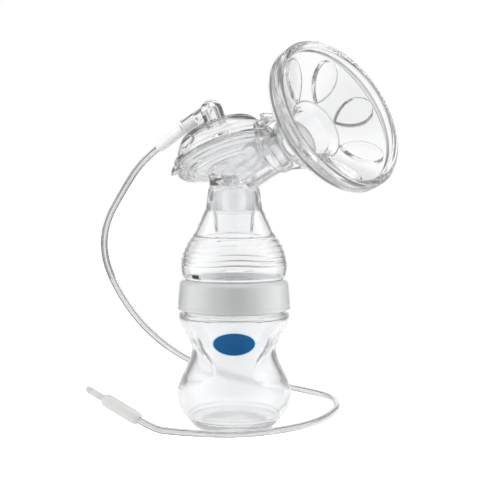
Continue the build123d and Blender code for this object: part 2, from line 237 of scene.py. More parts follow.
def merge(piece, others, operation):
    """Joins others to a piece, or cuts them out of it, and removes them."""
    for other in others:
        modifier = piece.modifiers.new("merge", "BOOLEAN")
        modifier.solver = "MANIFOLD"
        modifier.operation = operation
        modifier.object = other
        bpy.context.view_layer.update()
        seen = piece.evaluated_get(bpy.context.evaluated_depsgraph_get())
        made = bpy.data.meshes.new_from_object(seen)
        piece.modifiers.clear()
        piece.data = made
        bpy.data.objects.remove(other)
    return piece


def step(low, high, value):
    """0 below low, 1 above high, and a smooth rise between them."""
    t = np.clip((np.asarray(value, float) - low) / (high - low), 0, 1)
    return t * t * (3 - 2 * t)


def finished(piece, body, node, material):
    """A piece takes the place of its CAD node, on that node's body."""
    piece.data.materials.clear()
    piece.data.materials.append(material)
    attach(piece, body)
    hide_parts(node)
    return piece


# ---- materials -------------------------------------------------------------------------
# nearly all noise lies between these two
NOISE_LOW = 0.3
NOISE_HIGH = 0.7


class Surface:
    """A node material built round one Principled shader."""

    def __init__(self, name):
        self.material = bpy.data.materials.new(name)
        self.material.use_nodes = True
        self.nodes = self.material.node_tree.nodes
        self.links = self.material.node_tree.links
        self.shader = self.nodes["Principled BSDF"]
        self.output = self.nodes["Material Output"]
        self.place = self.nodes.new("ShaderNodeTexCoord").outputs["Object"]

    def set(self, **values):
        for name, value in values.items():
            self.shader.inputs[name.replace("_", " ")].default_value = value

    def noise(self, per_metre, detail=3.0, stretch=(1, 1, 1)):
        """Noise whose cells are about 1 / per_metre across."""
        mapping = self.nodes.new("ShaderNodeMapping")
        mapping.inputs["Scale"].default_value = stretch
        self.links.new(self.place, mapping.inputs["Vector"])
        made = self.nodes.new("ShaderNodeTexNoise")
        made.inputs["Scale"].default_value = per_metre
        made.inputs["Detail"].default_value = detail
        self.links.new(mapping.outputs["Vector"], made.inputs["Vector"])
        return made.outputs["Fac"]

    def between(self, value, low, high):
        """A value from 0 to 1 spread between two numbers."""
        made = self.nodes.new("ShaderNodeMapRange")
        made.inputs["From Min"].default_value = NOISE_LOW
        made.inputs["From Max"].default_value = NOISE_HIGH
        made.inputs["To Min"].default_value = low
        made.inputs["To Max"].default_value = high
        self.links.new(value, made.inputs["Value"])
        return made.outputs["Result"]

    def tint(self, value, dark, light):
        """A colour between two others."""
        made = self.nodes.new("ShaderNodeMix")
        made.data_type = "RGBA"
        made.inputs["A"].default_value = (*dark, 1)
        made.inputs["B"].default_value = (*light, 1)
        self.links.new(value, made.inputs["Factor"])
        return made.outputs["Result"]

    def link(self, value, socket):
        self.links.new(value, self.shader.inputs[socket])

    def bump(self, value, height):
        """Fine relief; height in metres."""
        made = self.nodes.new("ShaderNodeBump")
        made.inputs["Distance"].default_value = height
        self.links.new(value, made.inputs["Height"])
        self.links.new(made.outputs["Normal"], self.shader.inputs["Normal"])

    def lets_light_through(self):
        """Shadow rays pass, so that light reaches what is behind the clear plastic."""
        path = self.nodes.new("ShaderNodeLightPath")
        clear = self.nodes.new("ShaderNodeBsdfTransparent")
        mixed = self.nodes.new("ShaderNodeMixShader")
        self.links.new(path.outputs["Is Shadow Ray"], mixed.inputs["Fac"])
        self.links.new(self.shader.outputs["BSDF"], mixed.inputs[1])
        self.links.new(clear.outputs["BSDF"], mixed.inputs[2])
        self.links.new(mixed.outputs["Shader"], self.output.inputs["Surface"])


def clear_material(name, index, rough, tints, grain, relief, clear=0.985):
    """Clear plastic or silicone: a tint that drifts a little, and faint moulding ripple. clear
    is the share of light that goes through; the rest is scattered, as in milky plastic."""
    made = Surface(name)
    made.set(Transmission_Weight=clear, IOR=index)
    cloud = made.noise(60.0, 2.0)
    made.link(made.tint(cloud, *tints), "Base Color")
    made.link(made.between(made.noise(grain, 3.0), *rough), "Roughness")
    made.bump(made.noise(grain * 0.7, 2.0), relief)
    made.lets_light_through()
    return made.material


clear_plastic = clear_material(
    "clear_plastic", 1.49, (0.0, 0.03), ((0.965, 0.97, 0.975), (0.985, 0.985, 0.99)), 180.0, 0.00002)
bottle_plastic = clear_material(
    "bottle_plastic", 1.46, (0.09, 0.15), ((0.955, 0.96, 0.97), (0.975, 0.98, 0.985)),
    150.0, 0.00003, 0.935)
adapter_plastic = clear_material(
    "adapter_plastic", 1.46, (0.0, 0.03), ((0.97, 0.975, 0.98), (0.985, 0.985, 0.99)),
    160.0, 0.00002, 0.935)
cushion_silicone = clear_material(
    "cushion_silicone", 1.41, (0.02, 0.09), ((0.95, 0.955, 0.96), (0.975, 0.975, 0.98)),
    220.0, 0.00003, 0.965)
thin_silicone = clear_material(
    "thin_silicone", 1.41, (0.12, 0.25), ((0.93, 0.935, 0.94), (0.965, 0.97, 0.975)),
    260.0, 0.00002, 0.88)
valve_silicone = clear_material(
    "valve_silicone", 1.3, (0.03, 0.1), ((0.955, 0.96, 0.965), (0.975, 0.98, 0.985)),
    260.0, 0.00002, 0.96)
tube_plastic = clear_material(
    "tube_plastic", 1.55, (0.0, 0.02), ((0.83, 0.835, 0.84), (0.88, 0.885, 0.89)),
    300.0, 0.00002, 1.0)


def solid_material(name, dark, light, rough, cell, relief, **extra):
    """Opaque plastic or rubber with faint mottling and grain."""
    made = Surface(name)
    made.set(**extra)
    made.link(made.tint(made.noise(cell * 0.2, 3.0), dark, light), "Base Color")
    made.link(made.between(made.noise(cell, 4.0), *rough), "Roughness")
    made.bump(made.noise(cell * 2, 2.0), relief)
    return made.material


collar_plastic = solid_material(
    "collar_plastic", (0.56, 0.57, 0.575), (0.62, 0.63, 0.635), (0.16, 0.26), 500.0, 0.00001,
    Coat_Weight=1.0, Coat_Roughness=0.1)
connector_rubber = solid_material(
    "connector_rubber", (0.80, 0.80, 0.80), (0.88, 0.88, 0.88), (0.3, 0.45), 700.0, 0.00002,
    Subsurface_Weight=0.2, Subsurface_Scale=0.002)
plug_plastic = solid_material(
    "plug_plastic", (0.64, 0.635, 0.625), (0.71, 0.705, 0.695), (0.35, 0.5), 900.0, 0.00003)
nozzle_plastic = solid_material(
    "nozzle_plastic", (0.60, 0.595, 0.585), (0.68, 0.675, 0.665), (0.3, 0.42), 900.0, 0.00002)
# near-black painted shade: the colour of the sheet that stands for the shade inside the adapter's vent
# slot
vent_painted_shade = solid_material(
    "vent_painted_shade", (0.01, 0.01, 0.01), (0.03, 0.03, 0.03), (0.4, 0.5), 900.0, 0.00001)

# ---- air tube --------------------------------------------------------------------------
TUBE_R = 2.0
TUBE_BORE_R = 0.85
PORT_UP = 46.0
CONNECTOR_END = -45.0

# the tube's length and its route are in metres
tube_start = head_point(CONNECTOR_END, PORT_UP) * MM
route = [
    tube_start,
    tube_start - FUNNEL_DIR * 0.017,
    (-0.086, -0.007, 0.129),
    (-0.098, -0.011, 0.109),
    (-0.103, -0.008, 0.088),
    (-0.101, 0.002, 0.066),
    (-0.094, 0.016, 0.044),
    (-0.084, 0.036, 0.025),
    (-0.071, 0.060, 0.012),
    (-0.052, 0.080, 0.0065),
    (-0.029, 0.091, 0.0032),
    (-0.006, 0.090, 0.0024),
    (0.013, 0.076, 0.0022),
    (0.026, 0.054, 0.0022),
    (0.035, 0.029, 0.0022),
    (0.0345, 0.0025, 0.0022),
    (0.0242, -0.023, 0.0022),
    (0.0045, -0.037, 0.0023),
    (-0.0065, -0.0415, 0.0022),
    (-0.0164, -0.0448, 0.0023),
    (-0.0260, -0.0479, 0.0066),
]


def curve_points(controls):
    """Points of one NURBS spline with those control points, in metres."""
    line = bpy.data.curves.new("tube_line", "CURVE")
    line.dimensions = "3D"
    line.resolution_u = 12
    spline = line.splines.new("NURBS")
    spline.points.add(len(controls) - 1)
    for point, place in zip(spline.points, controls):
        point.co = (*place, 1)
    spline.order_u = 3
    spline.use_endpoint_u = True
    holder = bpy.data.objects.new("tube_line", line)
    mesh = bpy.data.meshes.new_from_object(holder)
    found = [v.co.copy() for v in mesh.vertices]
    bpy.data.objects.remove(holder)
    return found


def pipe(name, line, sections, sides=32):
    """Closed walls along a line in metres: each section is a radius, outer first, inner last."""
    ahead = [(b - a).normalized() for a, b in zip(line, line[1:])]
    ahead = [ahead[0]] + [(a + b).normalized() for a, b in zip(ahead, ahead[1:])] + [ahead[-1]]
    across = ahead[0].orthogonal().normalized()
    frames = []
    for here in ahead:
        across = (across - here * across.dot(here)).normalized()
        frames.append((across, here.cross(across)))
    points = []
    for radius in sections:
        for centre, (one, two) in zip(line, frames):
            for k in range(sides):
                turn = 2 * pi * k / sides
                points.append((centre / MM + (one * cos(turn) + two * sin(turn)) * radius)[:])
    size = len(line) * sides
    faces = []
    for layer in (0, size):
        for i in range(len(line) - 1):
            for k in range(sides):
                j = (k + 1) % sides
                first = layer + i * sides
                faces.append((first + k, first + j, first + sides + j, first + sides + k))
    for ring in (0, (len(line) - 1) * sides):
        for k in range(sides):
            j = (k + 1) % sides
            faces.append((ring + k, ring + j, size + ring + j, size + ring + k))
    return new_piece(name, points, faces)


tube_line = curve_points(route)
air_tube = pipe("air_tube_clear", tube_line, (TUBE_R, TUBE_BORE_R))
air_tube.data.materials.append(tube_plastic)
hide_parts("air_tube")
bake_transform(air_tube)

# ---- plug on the tube's end ------------------------------------------------------------
PLUG_R = 3.8
PLUG_LENGTH = 24.0
NOZZLE_R = 2.0
NOZZLE_LENGTH = 12.5
plug_dir = (Vector(route[-1]) - Vector(route[-2])).normalized()
PLUG = plane(Vector(route[-1]) / MM, plug_dir.orthogonal(), plug_dir)

plug_grip = lathe("plug_grip_moulded", rounded([
    (0, 0),
    (3.2, 0, 0.4),
    (3.6, 1.2, 0.6),
    (PLUG_R, 3.4, 1.0),
    (PLUG_R, PLUG_LENGTH - 3.2, 0.4),
    (PLUG_R - 0.25, PLUG_LENGTH - 2.8, 0.3),
    (PLUG_R - 0.25, PLUG_LENGTH - 1.0, 0.5),
    (PLUG_R - 0.8, PLUG_LENGTH, 0.4),
    (0, PLUG_LENGTH),
]), PLUG, TINY_SEGMENTS)
finished(plug_grip, "pump_head", "plug_grip", plug_plastic)

plug_nozzle = lathe("plug_nozzle_tapered", rounded([
    (0.7, PLUG_LENGTH),
    (NOZZLE_R, PLUG_LENGTH),
    (NOZZLE_R, PLUG_LENGTH + NOZZLE_LENGTH - 4.2),
    (NOZZLE_R - 0.15, PLUG_LENGTH + NOZZLE_LENGTH - 4.0, 0.1),
    (NOZZLE_R - 0.15, PLUG_LENGTH + NOZZLE_LENGTH - 3.4, 0.1),
    (NOZZLE_R, PLUG_LENGTH + NOZZLE_LENGTH - 3.2, 0.1),
    (NOZZLE_R - 0.1, PLUG_LENGTH + NOZZLE_LENGTH - 0.6, 0.2),
    (NOZZLE_R - 0.5, PLUG_LENGTH + NOZZLE_LENGTH, 0.2),
    (0.7, PLUG_LENGTH + NOZZLE_LENGTH, 0.1),
], 0.2), PLUG, 48)
finished(plug_nozzle, "pump_head", "plug_nozzle", nozzle_plastic)

# ---- bottle ----------------------------------------------------------------------------
NECK_R = 26.4
NECK_BORE_R = 23.6
RIM_Z = 75.6
BOTTLE_WALL = 3.2
THREAD_PITCH = 4.0
THREAD_TURNS = 0.75
THREAD_DEPTH = 2.0
THREAD_Z = 66.6
THREAD_FLAT = 0.22
THREAD_HALF = 0.8
THREAD_RUNS_OUT = 0.25
THREAD_ROOM_LOW = 65.0
THREAD_ROOM_HIGH = RIM_Z - 1
SCOOP_LOW = 20.0
SCOOP_HIGH = 60.0
SCOOP_BLEND = 30.0

# (height, radius) of the body through its two narrow sides, and through its front and back
belly = [(3.6, 24.8), (11, 30.2), (19, 31.8)]
narrow_side = belly + [(28, 29.2), (46, 23.8), (58, 29.4), (61.5, 30.6)]
broad_side = belly + [(26.5, 31.2), (35, 29.4), (45, 27.7), (58, 29.6), (61.5, 30.6)]
# (height, degrees from the side) where each scoop meets the front and back panels
scoop_edge = [(20, 4), (23, 27), (27, 50), (30, 64), (34, 68)]
scoop_edge += [(39, 65), (46, 52), (52, 46), (58, 36), (61, 20)]


def along_curve(points, value):
    """The second number of a smooth curve, at values of the first."""
    fine = np.array(smooth(points, 12))
    return np.interp(value, fine[:, 0], fine[:, 1])


def thread_ridge(turn, height, start):
    """How far a screw ridge stands out, from 0 to 1, round a neck."""
    turned = np.mod(turn, 2 * pi)
    centre = start + THREAD_PITCH * turned / (2 * pi)
    left = THREAD_TURNS * 2 * pi - turned
    fade = step(0, THREAD_RUNS_OUT, turned) * step(0, THREAD_RUNS_OUT, left)
    return fade * (1 - step(THREAD_FLAT, THREAD_HALF, np.abs(height - centre)))


def bottle_shape(turn, radius, height):
    """Scoops on both sides, flatter panels front and back, and the screw ridge."""
    off_side = np.degrees(np.arccos(np.clip(np.abs(np.cos(turn)), 0, 1)))
    depth = along_curve(broad_side, height) - along_curve(narrow_side, height)
    edge = along_curve(scoop_edge, height)
    inside = np.clip((edge - off_side) / SCOOP_BLEND, 0, 1)
    scoop = depth * (1 - (1 - inside) ** 2)
    made = radius - np.where((height > SCOOP_LOW) & (height < SCOOP_HIGH), scoop, 0)
    on_neck = (height > THREAD_ROOM_LOW) & (height < THREAD_ROOM_HIGH) & (radius > NECK_R - 0.2)
    ridge = thread_ridge(turn + FRONT_TURN, height, THREAD_Z)
    made = made + np.where(on_neck, ridge * THREAD_DEPTH, 0)
    return made * np.cos(turn), made * np.sin(turn), height


def make_bottle():
    outside = [(along_curve(broad_side, z), z) for z in np.arange(4.5, 61.6, 0.75)]
    inside = [(r - BOTTLE_WALL, z) for r, z in reversed(outside) if z > 7.5]
    neck = [(NECK_R, z) for z in np.arange(65.6, RIM_Z - 0.8, 0.3)]
    base = rounded([(0, 1.6), (15.0, 1.2, 2.0), (18.5, 0, 1.0), (22.0, 0, 3.0), outside[0]])[:-1]
    shoulder = rounded([
        outside[-1],
        (30.6, 63.3, 0.9),
        (27.6, 64.4, 0.5),
        (NECK_R, 64.9, 0.4),
        neck[0],
    ])[1:-1]
    rim = rounded([
        neck[-1],
        (NECK_R, RIM_Z, 0.5),
        (NECK_BORE_R, RIM_Z, 0.5),
        (NECK_BORE_R, 65.2, 0.8),
        inside[0],
    ])[1:-1]
    floor = rounded([inside[-1], (22.5, 5.0, 4.0), (14.0, 4.2, 4.0), (0, 4.6)])[1:]
    outline = base + outside + shoulder + neck + rim + inside + floor
    return lathe("bottle_blown", outline, BOTTLE, FINE_SEGMENTS, bottle_shape)


bottle = make_bottle()
finished(bottle, "bottle", "bottle", bottle_plastic)

# ---- badge: a plain blue oval printed on the front -------------------------------------
BADGE_WIDE = 12.0
BADGE_TALL = 6.4
BADGE_Z = 50.0
BADGE_PROUD = 0.16
BADGE_BACK = 0.02
# shares of the badge's size where its pale edge starts and where it is full
BADGE_EDGE_START = 0.93
BADGE_EDGE_FULL = 0.95


def badge_material():
    """Deep blue print with a thin pale edge, by the distance from the badge's centre."""
    made = Surface("badge_print")
    made.set(Roughness=0.4, Specular_IOR_Level=0.25)
    ring = made.nodes.new("ShaderNodeAttribute")
    ring.attribute_name = "badge_ring"
    rim = made.nodes.new("ShaderNodeMapRange")
    rim.inputs["From Min"].default_value = BADGE_EDGE_START
    rim.inputs["From Max"].default_value = BADGE_EDGE_FULL
    made.links.new(ring.outputs["Fac"], rim.inputs["Value"])
    blue = made.tint(made.noise(350.0, 4.0), (0.0, 0.085, 0.26), (0.0, 0.11, 0.32))
    mixed = made.nodes.new("ShaderNodeMix")
    mixed.data_type = "RGBA"
    mixed.inputs["B"].default_value = (0.55, 0.78, 0.88, 1)
    made.links.new(rim.outputs["Result"], mixed.inputs["Factor"])
    made.links.new(blue, mixed.inputs["A"])
    made.link(mixed.outputs["Result"], "Base Color")
    made.bump(made.noise(900.0, 2.0), 0.00001)
    return made.material


def make_badge():
    """An oval sheet that follows the bottle's front and thins out at its edge."""
    rings = 16
    sides = 96
    points = []
    shares = []
    for lift in (BADGE_PROUD, BADGE_BACK):
        for i in range(rings + 1):
            share = i / rings
            for k in range(sides):
                turn = 2 * pi * k / sides
                across = BADGE_WIDE * share * cos(turn)
                height = BADGE_Z + BADGE_TALL * share * sin(turn)
                radius = along_curve(broad_side, height)
                off = acos(min(1.0, abs(across) / radius))
                made = bottle_shape(np.array([off - pi]), np.array([radius]), np.array([height]))
                reach = sqrt(made[0][0] ** 2 + made[1][0] ** 2) + lift * min(1.0, (1.001 - share) * rings)
                away = sqrt(max(reach ** 2 - across ** 2, 0))
                points.append((across, -away, height))
                shares.append(share)
    layer = (rings + 1) * sides
    faces = []
    for first in (0, layer):
        for i in range(rings):
            for k in range(sides):
                j = (k + 1) % sides
                low = first + i * sides
                faces.append((low + k, low + j, low + sides + j, low + sides + k))
    edge = rings * sides
    for k in range(sides):
        j = (k + 1) % sides
        faces.append((edge + k, edge + j, layer + edge + j, layer + edge + k))
    made = new_piece("bottle_badge_print", points, faces, BOTTLE)
    ring = made.data.attributes.new("badge_ring", "FLOAT", "POINT")
    ring.data.foreach_set("value", np.array(shares, np.float32))
    sheet = bmesh.new()
    sheet.from_mesh(made.data)
    bmesh.ops.remove_doubles(sheet, verts=sheet.verts, dist=1e-7)
    bmesh.ops.recalc_face_normals(sheet, faces=sheet.faces)
    sheet.to_mesh(made.data)
    sheet.free()
    return made


finished(make_badge(), "bottle", "bottle_badge", badge_material())

# ---- seal and collar -------------------------------------------------------------------
SEAL_TOP = 77.4
bottle_seal = lathe("bottle_seal_ring", rounded([
    (NECK_BORE_R, RIM_Z),
    (NECK_R, RIM_Z),
    (NECK_R, SEAL_TOP),
    (NECK_BORE_R, SEAL_TOP),
], 0.5))
finished(bottle_seal, "bottle", "bottle_seal", thin_silicone)

COLLAR_LOW_Z = 66.0
COLLAR_TOP_Z = 82.5
COLLAR_BORE_R = 29.0
COLLAR_BORE_LOW_Z = 66.9
COLLAR_BORE_TOP_Z = 79.4
COLLAR_LIP_Z = 80.0
COLLAR_MOUTH_R = 27.0


def collar_shape(turn, radius, height):
    """The collar's own screw ridge, on the inside."""
    in_room = (height > COLLAR_BORE_LOW_Z + 0.1) & (height < COLLAR_BORE_TOP_Z - 0.4)
    on_bore = (radius < COLLAR_BORE_R + 0.1) & in_room
    ridge = thread_ridge(turn, height, THREAD_Z + THREAD_PITCH / 2)
    made = radius - np.where(on_bore, ridge * THREAD_DEPTH, 0)
    return made * np.cos(turn), made * np.sin(turn), height


def make_collar():
    bore = [(COLLAR_BORE_R, z) for z in np.arange(COLLAR_BORE_TOP_Z, COLLAR_BORE_LOW_Z, -0.3)]
    outside = rounded([
        (COLLAR_BORE_R, COLLAR_LIP_Z, 0.2),
        bore[-1],
        (COLLAR_BORE_R, COLLAR_LOW_Z, 0.5),
        (31.5, COLLAR_LOW_Z, 0.6),
        (31.45, 67.6, 0.3),
        (31.2, 67.9, 0.2),
        (31.2, 68.3, 0.2),
        (31.4, 68.6, 0.3),
        (30.4, 80.6, 1.4),
        (28.9, COLLAR_TOP_Z, 1.1),
        (COLLAR_MOUTH_R, COLLAR_TOP_Z, 0.4),
        (COLLAR_MOUTH_R, COLLAR_LIP_Z, 0.3),
    ])
    start = next(i for i, p in enumerate(outside) if p[1] < COLLAR_BORE_LOW_Z)
    return lathe("collar_ring_pearl", bore + outside[start:], WORLD, FINE_SEGMENTS, collar_shape)


finished(make_collar(), "collar", "collar_ring", collar_plastic)

# ---- adapter: flange, rippled dome and neck --------------------------------------------
DOME_WALL = 1.6
ADAPTER_BORE_R = NECK_BORE_R + 0.4
FLANGE_R = 27.8
FLANGE_TOP_Z = 79.7
NECK_TOP_Z = 132.5
NECK_MOUTH_R = 12.0
BODY_FOOT_Z = 134.1
BODY_FOOT_R = 13.8
dome_side = [(26.0, 81.9), (28.7, 84.6), (29.6, 88.5), (28.8, 94.5), (26.5, 101.0), (22.8, 106.6)]
RIPPLE_LOW = 89.5
RIPPLE_HIGH = 107.0
RIPPLE_PITCH = 2.9
RIPPLE_DEPTH = 0.55
# (height, radius) of a surface within the dome's wall, which tells its outside from its inside
dome_middle = [(84, 28.0), (88, 28.9), (94, 28.1), (101, 25.8), (107, 21.9)]


def adapter_shape(turn, radius, height):
    """A fine, uneven spiral ripple winds round the upper dome."""
    phase = height / RIPPLE_PITCH + turn / (2 * pi) + 0.3 * np.sin(2 * turn + 1) + 0.12 * np.sin(5 * turn)
    wave = 0.5 + 0.5 * np.cos(2 * pi * phase)
    fade = 0.7 + 0.3 * np.sin(3 * turn + height / 4)
    share = fade * step(RIPPLE_LOW, RIPPLE_LOW + 3, height) * step(0, 1.5, RIPPLE_HIGH - height)
    outer = radius > np.interp(height, *zip(*dome_middle))
    made = radius + np.where(outer, share * RIPPLE_DEPTH * (wave ** 2 - 0.4), 0)
    return made * np.cos(turn), made * np.sin(turn), height


def make_adapter():
    fine = np.array(smooth(dome_side, 24))
    heights = np.arange(82.4, 106.5, 0.26)
    dome = [(np.interp(z, fine[:, 1], fine[:, 0]), z) for z in heights]
    inner = [(r - DOME_WALL, z) for r, z in reversed(dome) if z > 84.5]
    foot = rounded([
        (ADAPTER_BORE_R, SEAL_TOP, 0.3),
        (FLANGE_R, SEAL_TOP, 0.5),
        (FLANGE_R, FLANGE_TOP_Z, 0.6),
        (26.0, FLANGE_TOP_Z, 0.6),
        (26.0, 81.6, 0.6),
        dome[0],
    ])[:-1]
    neck = rounded([
        dome[-1],
        (22.5, 107.2, 0.3),
        (22.2, 107.7, 0.3),
        (16.3, 120.4, 0.3),
        (15.7, 120.8, 0.2),
        (15.6, 121.6, 0.3),
        (14.2, NECK_TOP_Z, 0.5),
        (NECK_MOUTH_R, NECK_TOP_Z, 0.4),
        (NECK_MOUTH_R, 126.0, 1.0),
        (14.4, 120.2, 1.0),
        (20.7, 107.2, 0.8),
        inner[0],
    ])[1:-1]
    mouth = rounded([
        inner[-1],
        (24.4, 82.2, 1.0),
        (ADAPTER_BORE_R, 80.0, 0.6),
        (ADAPTER_BORE_R, SEAL_TOP),
    ])[1:-1]
    outline = foot + dome + neck + inner + mouth
    return lathe("bottle_adapter_dome", outline, BOTTLE, FINE_SEGMENTS, adapter_shape)


VENT_TURN = radians(-46.0)
VENT_WIDTH = 5.8
VENT_HEIGHT = 2.2
VENT_AWAY = 28.0
VENT_Z = 85.4
VENT_SLACK = 0.2
vent_out = Matrix.Rotation(VENT_TURN, 3, "Z") @ FRONT_DIR
VENT = plane(vent_out * VENT_AWAY + UP * VENT_Z, vent_out.cross(UP), vent_out)
adapter = make_adapter()
vent_cut = block("vent_cut", (VENT_WIDTH, VENT_HEIGHT, 8.0), VENT, 0.4)
adapter = merge(adapter, [vent_cut], "DIFFERENCE")
shade(adapter)
finished(adapter, "pump_head", "bottle_adapter", adapter_plastic)

# a near-black sheet set into the vent slot: painted shade for the dark inside the opening, not a real
# part
vent_shade_sheet = block("vent_shade_sheet", (VENT_WIDTH - VENT_SLACK, VENT_HEIGHT - VENT_SLACK, 1.2), VENT, 0.3)
vent_shade_sheet.data.materials.append(vent_painted_shade)
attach(vent_shade_sheet, "pump_head")

neck_seal = lathe("neck_seal_ring", rounded([
    (NECK_MOUTH_R, NECK_TOP_Z),
    (BODY_FOOT_R, NECK_TOP_Z),
    (BODY_FOOT_R, BODY_FOOT_Z),
    (NECK_MOUTH_R, BODY_FOOT_Z),
], 0.4))
finished(neck_seal, "pump_head", "neck_seal", thin_silicone)

# ---- valve -----------------------------------------------------------------------------
VALVE_R = 11.75
VALVE_BORE_R = 10.1
VALVE_SLEEVE_Z = 118.4
VALVE_TIP_Z = 107.8
VALVE_SEGMENTS = 128
BILL_CURVE = 1.1
# half sizes of the slit, and the thickness of the bill at its ends and over its faces
SLIT_WIDE = 8.55
SLIT_DEEP = 0.5
SLIT_END_SKIN = 1.6
SLIT_FACE_SKIN = 1.1


def valve_shape(turn, radius, height):
    """The sleeve flattens to a slit that lies across the view from the front."""
    close = np.clip((VALVE_SLEEVE_Z - height) / (VALVE_SLEEVE_Z - VALVE_TIP_Z), 0, 1) ** BILL_CURVE
    skin = (radius - VALVE_BORE_R) / (VALVE_R - VALVE_BORE_R)
    across = radius + close * (SLIT_WIDE + SLIT_END_SKIN * skin - radius)
    deep = radius + close * (SLIT_DEEP + SLIT_FACE_SKIN * skin - radius)
    return across * np.cos(turn), deep * np.sin(turn), height


def make_valve():
    levels = np.arange(VALVE_TIP_Z + 0.6, VALVE_SLEEVE_Z + 0.5, 0.6)
    outer = [(VALVE_R, z) for z in levels]
    inner = [(VALVE_BORE_R, z) for z in reversed(levels)]
    top = rounded([
        outer[-1],
        (VALVE_R, 129.6, 0.2),
        (VALVE_R - 0.05, 132.0, 0.5),
        (VALVE_BORE_R, 132.0, 0.3),
        inner[0],
    ])[1:-1]
    tip = rounded([
        inner[-1],
        (VALVE_BORE_R, VALVE_TIP_Z, 0.2),
        (VALVE_R, VALVE_TIP_Z, 0.4),
        outer[0],
    ])[1:-1]
    outline = outer + top + inner + tip
    return lathe("duckbill_valve_soft", outline, BOTTLE, VALVE_SEGMENTS, valve_shape)


finished(make_valve(), "valve", "duckbill_valve", valve_silicone)

# ---- pump body -------------------------------------------------------------------------
DISC_R = 28.8
DISC_TOP = 17.0
BLOCK_R = 11.0
BLOCK_UP = 3.8
BLOCK_END = 36.0
SPOUT_R = 8.4
SPOUT_END = 49.0
MILK_WAY_R = 6.4
OUTLET_R = 8.2
SPIGOT_R = 10.02
SPIGOT_END_Z = 120.5
BLOCK = plane(head_point(0, BLOCK_UP), DISC_DIR, FUNNEL_DIR)


def turned_disc(angle):
    """The housing's plane, turned about its axis."""
    return DISC @ Matrix.Rotation(radians(angle), 4, "Z")


def make_pump_body():
    housing = lathe("pump_body_moulded", rounded([
        (0, 8.2),
        (15.5, 8.2, 2.5),
        (20.3, 10.4, 1.5),
        (21.5, 11.9, 0.8),
        (21.5, 12.9, 0.4),
        (23.6, 12.9, 0.15),
        (23.8, 13.5, 0.15),
        (24.5, 13.5, 0.15),
        (24.7, 12.9, 0.15),
        (26.6, 12.9, 0.9),
        (DISC_R, 14.6, 0.8),
        (DISC_R, DISC_TOP, 0.4),
        (0, DISC_TOP),
    ]), DISC)
    cone = lathe("cone", rounded([(0, -6.0), (3.5, -6.0, 1.5), (14.0, 8.8, 0.5), (0, 8.8)]), DISC,
                 SMALL_SEGMENTS)
    chamber = rod("chamber", BLOCK_R, -2.0, BLOCK_END, BLOCK, 1.2)
    lip = rod("lip", BLOCK_R + 1.0, BLOCK_END - 3.0, BLOCK_END, BLOCK, 0.8)
    spout = rod("spout", SPOUT_R, 0, SPOUT_END, FUNNEL, 0.8)
    foot = rod("foot", BODY_FOOT_R, BODY_FOOT_Z, BODY_FOOT_Z + 6.0, WORLD, 0.5)
    body = merge(housing, [cone, chamber, lip, spout, foot], "UNION")
    around = lathe("around", [
        (SPIGOT_R, 112.0),
        (17.2, 112.0),
        (17.2, BODY_FOOT_Z),
        (SPIGOT_R, BODY_FOOT_Z),
    ], WORLD, SMALL_SEGMENTS)
    body = merge(body, [around], "DIFFERENCE")
    spigot = rod("spigot", SPIGOT_R, SPIGOT_END_Z, BODY_FOOT_Z + 1.5, WORLD, 0.5)
    lugs = [block("lug", (6.0, 9.0, 2.4), DISC @ Matrix.Translation((DISC_R + 1.0, 0, 15.75)), 0.7)]
    for angle in (120, -120):
        at = turned_disc(angle) @ Matrix.Translation((DISC_R + 0.6, 0, 15.8))
        lugs.append(block("ear", (6.0, 10.0, 2.4), at, 0.9))
    body = merge(body, [spigot] + lugs, "UNION")
    dish = lathe("dish", rounded([
        (0, 9.6),
        (14.9, 9.6, 2.5),
        (19.5, 12.0, 1.5),
        (20.1, 14.3, 0.8),
        (24.6, 16.0, 0.8),
        (24.6, 18.0, 0),
        (0, 18.0),
    ]), DISC)
    air_way = lathe("air_way", rounded([
        (0, -3.0),
        (3.0, -3.0, 1.5),
        (10.5, 9.4, 0.6),
        (10.5, 10.8, 0),
        (0, 10.8),
    ]), DISC, SMALL_SEGMENTS)
    hollow = lathe("hollow", rounded([
        (0, 2.0),
        (BLOCK_R - 1.6, 2.0, 2.0),
        (BLOCK_R - 1.6, BLOCK_END - 1.8, 1.0),
        (0, BLOCK_END - 1.8),
    ]), BLOCK, SMALL_SEGMENTS)
    spout_wall = rod("spout_wall", SPOUT_R, 12.0, BLOCK_END, FUNNEL, 0)
    hollow = merge(hollow, [spout_wall], "DIFFERENCE")
    milk_way = rod("milk_way", MILK_WAY_R, 0, SPOUT_END + 1, FUNNEL, 1.0)
    outlet = rod("outlet", OUTLET_R, SPIGOT_END_Z - 1, AXIS_Z, WORLD, 0)
    body = merge(body, [dish, air_way, hollow, milk_way, outlet], "DIFFERENCE")
    shade(body)
    return body


finished(make_pump_body(), "pump_head", "pump_body", clear_plastic)

# ---- diaphragm -------------------------------------------------------------------------
CAP_LOW = 18.6
diaphragm = lathe("diaphragm_membrane", rounded([
    (0, 11.2),
    (13.5, 11.2, 2.0),
    (18.1, 13.2, 1.5),
    (18.9, 14.5, 0.8),
    (23.8, DISC_TOP, 0.8),
    (27.8, DISC_TOP, 0.5),
    (27.8, CAP_LOW, 0.5),
    (23.4, CAP_LOW, 0.8),
    (17.7, 14.9, 1.2),
    (16.9, 14.1, 0.8),
    (13.1, 12.4, 1.5),
    (0, 12.4),
]), DISC)
diaphragm.data.materials.append(thin_silicone)
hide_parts("diaphragm")
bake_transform(diaphragm)

# ---- cap with its boss, air port and latch ---------------------------------------------
CAP_TOP = 34.6
BOSS_R = 6.2
BOSS_TOP = 44.5
PORT_R = 4.25
PORT_END = -20.5
CONNECTOR_IN = -9.0
CONNECTOR_R = 3.3
SOCKET_R = 3.32
AIR_HOLE_R = 2.2
GRIP_WIDE = 3.2
GRIP_LONG = 5.4
GRIP_LEAN = radians(64)
PORT = plane(head_point(0, PORT_UP), DISC_DIR, FUNNEL_DIR)
BOSS = DISC @ Matrix.Translation((1.0, 0, 0))


